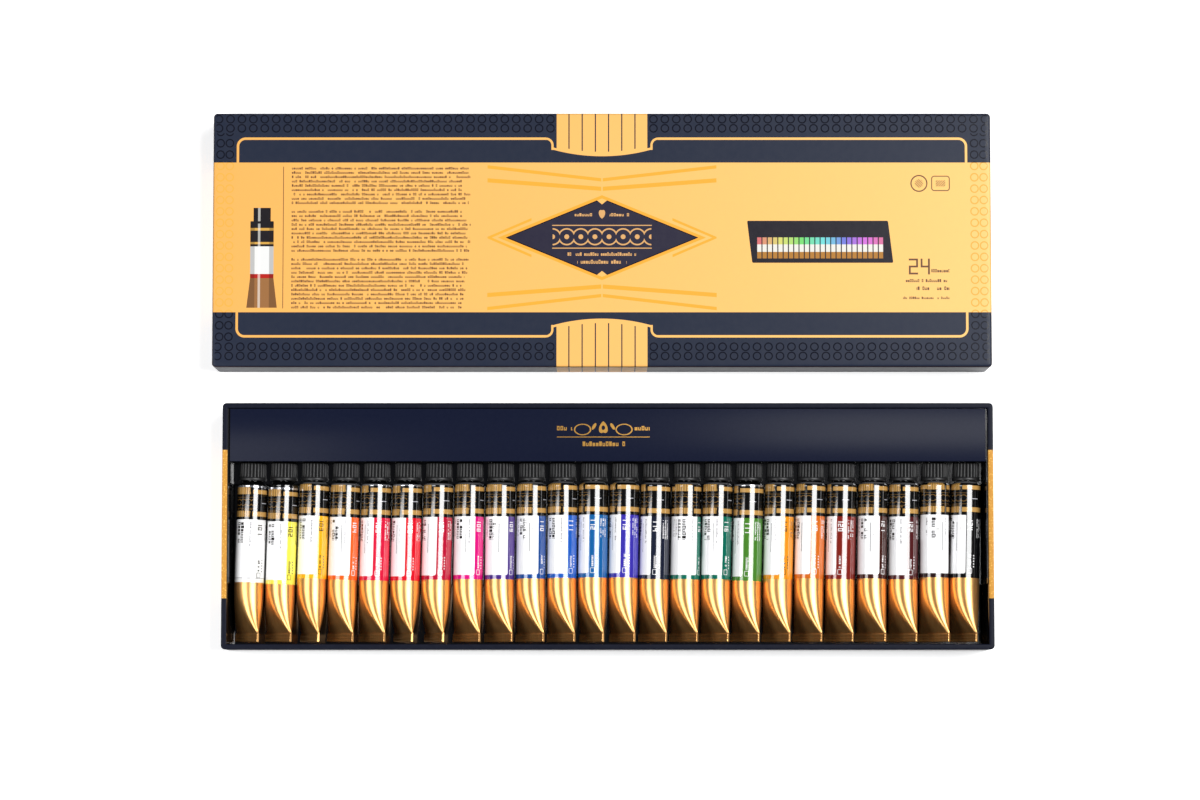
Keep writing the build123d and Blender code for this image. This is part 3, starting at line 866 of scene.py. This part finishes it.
def shoulder_ornament(run, down, seed):
    """A chain of rings between two fine lines, with small print below it."""
    rings = abs(length(run.in_cell(2.6), (down - 7.1) * 1.1) - 1.55) < 0.16
    lines = down.near(4.75, 0.09) | down.near(9.75, 0.09)
    letters = small_print(run + 30.0, down, 9.9, 1, 0.9, 0.7, seed) & run.within(-13.0, -2.0)
    return ((rings | lines) & run.within(-15.2, 0.2)) | letters


tube_print = Finish("tube_print")
run, down = tube_print.unrolled()
down = down + tube_print.dial("shift", 0.0)
run = (run - tube_print.dial("edge", 0.0)).math("WRAP", GIRTH / 2, -GIRTH / 2)
seed = tube_print.dial("seed", 0.0)
base = tube_print.dial("base", rgb(255, 255, 255))
mark = tube_print.dial("mark", rgb(255, 255, 255))

printed = down < ROUND_LENGTH
black = down < BLACK_END
bare = down.within(-0.55, 0.22)
label = box_distance(run + LABEL_HALF, down - LABEL_MIDDLE, LABEL_HALF, LABEL_REACH, 1.0) < 0.0
label = label & (down > BLACK_END)
bold, faint = label_print(run, down, seed)
bands = gold_bands(run, down) & black
dash = down.near(7.3, 0.17) & run.within(2.6, 5.8)
ink = layered(
    base,
    (label, rgb(252, 252, 253)),
    (label & bold, rgb(34, 30, 32)),
    (label & faint, rgb(158, 156, 158)),
    (~label & side_marks(run, down, seed), mark),
    (down.near(FOOT_LINE_DOWN, tube_print.dial("foot", 0.0)), rgb(150, 150, 152)),
    (black, rgb(6, 6, 6)),
    (bands, rgb(190, 146, 78)),
    (shoulder_ornament(run, down, seed) & black & (down > 0.3), rgb(124, 92, 44)),
    (dash & black, rgb(190, 190, 196)),
)

streaks = tube_print.grain(1.6, (1, 30, 1), 4.0)
clouds = tube_print.grain(7.0, (1, 2, 1), 2.0)
metal = inked(streaks, rgb(212, 148, 82), rgb(238, 190, 122))
colour = layered(metal, (printed, ink), (bare, rgb(214, 214, 218)))
rough = blended(printed, streaks * 0.08 + 0.28, clouds * 0.05 + 0.12)
rough = blended(bands, rough, 0.28)
tube_print.give(Base_Color=colour, Roughness=rough)
tube_print.give(Metallic=(~printed | bare) * 0.86, Coat_Weight=printed & ~bare)
tube_print.give(IOR=1.5, Specular_IOR_Level=0.3, Coat_Roughness=0.1, Coat_IOR=1.6)
tube_print.bump(streaks * 0.12 + clouds, 0.03)


def tube_material(place):
    """A copy of the print with one tube's own colour, number and turn of the label."""
    material = tube_print.material.copy()
    material.name = f"tube_{NUMBERS[place]}"
    pale = sum(COLOURS[place]) > PALE_SUM and COLOURS[place][1] > PALE_GREEN
    settings = {
        "shift": PRINT_SHIFTS[place] + PRINT_START,
        "edge": math.radians(LABEL_TURNS[place]) * RADIUS,
        "seed": place * 3.0,
        "foot": FOOT_LINE if place == 0 else 0.0,
        "base": rgb(*COLOURS[place]),
        "mark": rgb(60, 48, 30) if pale else rgb(238, 236, 236),
    }
    for position, digit in enumerate("1" + NUMBERS[place]):
        for bar in "abcdefg":
            settings[f"lit_{position}{bar}"] = float(bar in SEGMENTS[digit])
    for name, value in settings.items():
        material.node_tree.nodes[name].outputs[0].default_value = value
    return material


AROUND, FLAT_STEPS = 64, 16
FLATTENING_POWER, PINCH, DENT = 2.2, 0.6, 0.02
# The neck, the shoulder with its rolled edge and the round body, as radius and distance down
ROUND_PROFILE = [
    (3.6, -8.6), (3.95, -8.3), (3.95, -2.15), (4.2, -2.0), (4.75, -1.9), (6.1, -0.72), (6.34, -0.6),
    (6.56, -0.48), (6.7, -0.27), (RADIUS, 0.0), (6.7, 0.35), (6.72, 0.6), (RADIUS, 1.0), (RADIUS, BLACK_END),
    (RADIUS, 29.0), (RADIUS, ROUND_LENGTH),
]
stations = [(radius, down, 0) for radius, down in ROUND_PROFILE]
for step in range(1, FLAT_STEPS + 1):
    progress = step / FLAT_STEPS
    share = progress**FLATTENING_POWER * (1 - PINCH / (2 * RADIUS))
    stations.append((RADIUS, ROUND_LENGTH + FLAT_LENGTH * progress, share))

# The folded end, as distance down and height above the pinched sheet, with two rolled grooves
CRIMP_START = ROUND_LENGTH + FLAT_LENGTH
CRIMP_END = CRIMP_START + CRIMP_LENGTH
fold = [(CRIMP_START - 0.3, 0.3), (CRIMP_START + 0.35, 0.34), (CRIMP_START + 0.4, 0.72)]
for groove in (CRIMP_START + 1.5, CRIMP_START + 2.5):
    fold += [(groove - 0.2, 0.75), (groove, 0.62), (groove + 0.2, 0.75)]
fold += [(CRIMP_END - 0.35, 0.75), (CRIMP_END - 0.1, 0.66), (CRIMP_END, 0.4), (CRIMP_END, -0.05)]
fold += [(CRIMP_END - 0.12, -0.3), (CRIMP_END - 0.3, -0.35), (CRIMP_START - 0.3, -0.3)]
FOLD_MIDDLE, FOLD_EDGE, EDGE_SHARE = 0.15, 0.12, 0.75


def flat_point(share, run):
    """A point of the flattened outline, run millimetres around it from the tip of its width."""
    end = RADIUS * (1 - share)
    straight = math.pi * RADIUS / 2 * share
    run = run % GIRTH
    sign = 1
    if run > GIRTH / 2:
        run, sign = GIRTH - run, -1
    quarter = math.pi * end / 2
    if run < quarter:
        turn = run / end
        return straight + end * math.cos(turn), sign * end * math.sin(turn)
    if run < quarter + 2 * straight:
        return straight - (run - quarter), sign * end
    turn = (run - quarter - 2 * straight) / end
    return -straight - end * math.sin(turn), sign * end * math.cos(turn)


def tube_skin(shape, sheet, place, wide, thick, tilt):
    """The neck, shoulder, body and flattened length, with the map for the print."""
    origin, along, _ = shoulders[place]
    whims = random.Random(100 + place)
    lump_place, lump_size = whims.uniform(0, GIRTH), whims.uniform(0.1, 0.28)
    rings = []
    for radius, down, share in stations:
        ring = []
        swell = share * (1 - share) * 4
        for step in range(AROUND):
            run = GIRTH * step / AROUND
            width, height = flat_point(share, run)
            dent = 1 - DENT * swell * lump_size * math.cos((run - lump_place) / RADIUS * 2)
            ring.append(origin - along * down + (wide * width + thick * height * dent) * (radius / RADIUS))
        rings.append(ring)
    made_rings = joined_rings(shape, rings)
    shape.faces.new(made_rings[0])
    shape.faces.new(made_rings[-1])

    places = {}
    for (_, down, _), ring in zip(stations, made_rings):
        for step, vertex in enumerate(ring):
            places[vertex] = (GIRTH * (0.25 - step / AROUND) - tilt * RADIUS, down)
    for face in shape.faces:
        known = [places[loop.vert] for loop in face.loops]
        highest = max(run for run, _ in known)
        for loop, (run, down) in zip(face.loops, known):
            over_seam = len(known) == 4 and highest - run > GIRTH / 2
            loop[sheet].uv = (run + GIRTH if over_seam else run, down)


def folded_end(shape, sheet, place, wide, thick):
    """The end of the tube folded over, a little thinner at its two corners."""
    origin, along, _ = shoulders[place]
    half = math.pi * RADIUS / 2
    corner = (half, EDGE_SHARE)
    inner = (half - FOLD_EDGE, 1)
    rings = []
    for side, (width, share) in ((-1, corner), (-1, inner), (0, inner), (1, inner), (1, corner)):
        middle = origin + wide * (side * width)
        heights = [(down, FOLD_MIDDLE + (height - FOLD_MIDDLE) * share) for down, height in fold]
        rings.append([middle - along * down + thick * height for down, height in heights])
    made_rings = joined_rings(shape, rings)
    shape.faces.new(made_rings[0])
    shape.faces.new(made_rings[-1])
    for ring in made_rings:
        for vertex, (down, _) in zip(ring, fold):
            for loop in vertex.link_loops:
                loop[sheet].uv = (0.0, down)


for place, number in enumerate(NUMBERS):
    _, _, across = shoulders[place]
    tilt = math.radians(TILTS[place])
    wide = across * math.cos(tilt) + Vector((0, 0, math.sin(tilt)))
    thick = Vector((0, 0, math.cos(tilt))) - across * math.sin(tilt)
    material, slot = tube_material(place), f"tube_{number}_lacquer"
    made, shape = piece(f"tube_{number}_skin", f"tube_{number}", material, f"tube_{number}")
    sheet = shape.loops.layers.uv.new("print")
    tube_skin(shape, sheet, place, wide, thick, tilt)
    folded_end(shape, sheet, place, wide, thick)
    finished(made, shape, 40)


# The caps.
# Hollow black caps with deep flutes above a plain skirt, moulded in one piece and each screwed on to
# its own turn.

FLUTES = 22
GROOVE = (1.0, 0.8, 0.2, 0.0, 0.0, 0.0, 0.2, 0.8)
AROUND_CAP = FLUTES * len(GROOVE)
CAP_RIM, FULL_GROOVE = 2.3, 0.75
# Radius, distance up from the rim and depth of the grooves, from the bore's end out and over the top
CAP_PROFILE = [
    (3.9, 6.6, 0), (4.35, 6.45, 0), (4.4, 0.35, 0), (4.6, 0.05, 0), (5.9, 0.0, 0), (6.1, 0.06, 0),
    (6.2, 0.3, 0), (6.2, 1.0, 0), (6.14, 1.22, 0), (6.0, 1.36, 0), (5.98, 1.5, 0.25), (6.0, 1.8, 0.75),
    (5.95, 4.4, 0.8), (5.9, 7.3, 0.8), (5.86, 7.6, 0.8), (5.72, 7.8, 0.78), (5.5, 7.88, 0.7),
    (5.0, 7.9, 0.2), (4.5, 7.88, 0), (4.25, 7.74, 0), (4.1, 7.66, 0),
]
UP = Vector((0, 0, 1))

cap_black = Finish("cap_black")
cap_grain = cap_black.grain(0.35)
groove_shade, _ = cap_black.unrolled()
colour = inked(cap_grain, rgb(20, 20, 21), rgb(34, 34, 35))
# Painted shade: the grooves are painted near black for the shade that falls in them, and they are rougher too
colour = inked(groove_shade, colour, rgb(2, 2, 2))
cap_black.give(Base_Color=colour, Roughness=blended(groove_shade, cap_grain * 0.15 + 0.36, 0.8), IOR=1.45)
cap_black.bump(cap_grain, 0.02)

for place, number in enumerate(NUMBERS):
    origin, along, across = shoulders[place]
    start_turn = random.Random(40 + place).uniform(0, 2 * math.pi)
    material = cap_black.material
    made, shape = piece(f"cap_{number}_fluted", f"cap_{number}", material, f"cap_{number}")
    rings = []
    for radius, rise, depth in CAP_PROFILE:
        ring = []
        for step in range(AROUND_CAP):
            turn = start_turn + 2 * math.pi * step / AROUND_CAP
            reach = radius - depth * GROOVE[step % len(GROOVE)]
            outward = across * math.cos(turn) + UP * math.sin(turn)
            ring.append(origin + along * (CAP_RIM + rise) + outward * reach)
        rings.append(ring)
    made_rings = joined_rings(shape, rings)
    shape.faces.new(made_rings[0])
    shape.faces.new(made_rings[-1])
    sheet = shape.loops.layers.uv.new("print")
    # The map carries how deep each point lies in a groove, for the painted groove shade
    for (_, rise, depth), ring in zip(CAP_PROFILE, made_rings):
        for step, vertex in enumerate(ring):
            grooved = GROOVE[step % len(GROOVE)] * min(depth / FULL_GROOVE, 1.0)
            for loop in vertex.link_loops:
                loop[sheet].uv = (grooved, rise)
    finished(made, shape, 50)


# The studio.
# A white table, two soft boxes overhead with a dark gap between them for the camera, and a long lens.

TABLE_HALF, TABLE_Z, TABLE_GLOW = 20.0, -0.0003, 0.45
table = Finish("table")
table_grain = table.grain(400.0)
seen = Field(add_node(table.tree, "LightPath").outputs["Is Camera Ray"])
table.give(Base_Color=inked(table_grain, rgb(240, 240, 240), rgb(246, 246, 246)), Roughness=0.9)
table.give(Emission_Color=seen.node("CombineColor", seen, seen), Emission_Strength=TABLE_GLOW)
floor = bpy.data.objects.new("floor", bpy.data.meshes.new("floor"))
bpy.context.scene.collection.objects.link(floor)
floor.data.materials.append(table.material)
shape = bmesh.new()
bmesh.ops.create_grid(shape, x_segments=1, y_segments=1, size=TABLE_HALF)
shape.to_mesh(floor.data)
shape.free()
floor.location = (0, 0, TABLE_Z)

world = bpy.data.worlds.new("studio")
bpy.context.scene.world = world
world.use_nodes = True
sky = world.node_tree
sky.nodes.clear()
seen = Field(add_node(sky, "LightPath").outputs["Is Camera Ray"])
dim = add_node(sky, "Background", {"Color": (0.8, 0.86, 1.0, 1), "Strength": 0.05})
white = add_node(sky, "Background", {"Color": (1, 1, 1, 1), "Strength": 1.0})
choice = seen.node("MixShader", Field(dim.outputs[0]), Field(white.outputs[0]))
add_node(sky, "OutputWorld", {"Surface": choice})


def soft_box(name, place, aim, size, watts):
    """A flat rectangular light that faces a point."""
    lamp = bpy.data.lights.new(name, "AREA")
    lamp.shape = "RECTANGLE"
    lamp.size, lamp.size_y = size
    lamp.energy = watts
    made = bpy.data.objects.new(name, lamp)
    bpy.context.scene.collection.objects.link(made)
    made.location = place
    made.rotation_mode = "QUATERNION"
    made.rotation_quaternion = (Vector(place) - Vector(aim)).to_track_quat("Z", "Y")


# Places and sizes of the lights and the camera's distance are metres, the lights' strengths watts
soft_box("box_right", (1.27, 0.4, 2.0), (1.27, 0.4, 0.0), (1.7, 1.1), 73.0)
soft_box("box_left", (-0.7, -0.115, 0.75), (-0.7, -0.115, 0.0), (0.62, 0.47), 6.4)

DISTANCE, WIDTH_SEEN = 1.8, 0.5437
AIM = Vector((-3.5, 57.1, 22.0)) * MM
TILT = math.radians(4.7)
lens = bpy.data.cameras.new("camera")
lens.sensor_width = 36.0
lens.lens = lens.sensor_width * DISTANCE / WIDTH_SEEN
lens.clip_start, lens.clip_end = 0.01, 100.0
camera = bpy.data.objects.new("camera", lens)
bpy.context.scene.collection.objects.link(camera)
camera.location = AIM + Vector((0, -math.sin(TILT), math.cos(TILT))) * DISTANCE
camera.rotation_euler = (TILT, 0, 0)
bpy.context.scene.camera = camera
bpy.context.scene.view_settings.view_transform = "Standard"
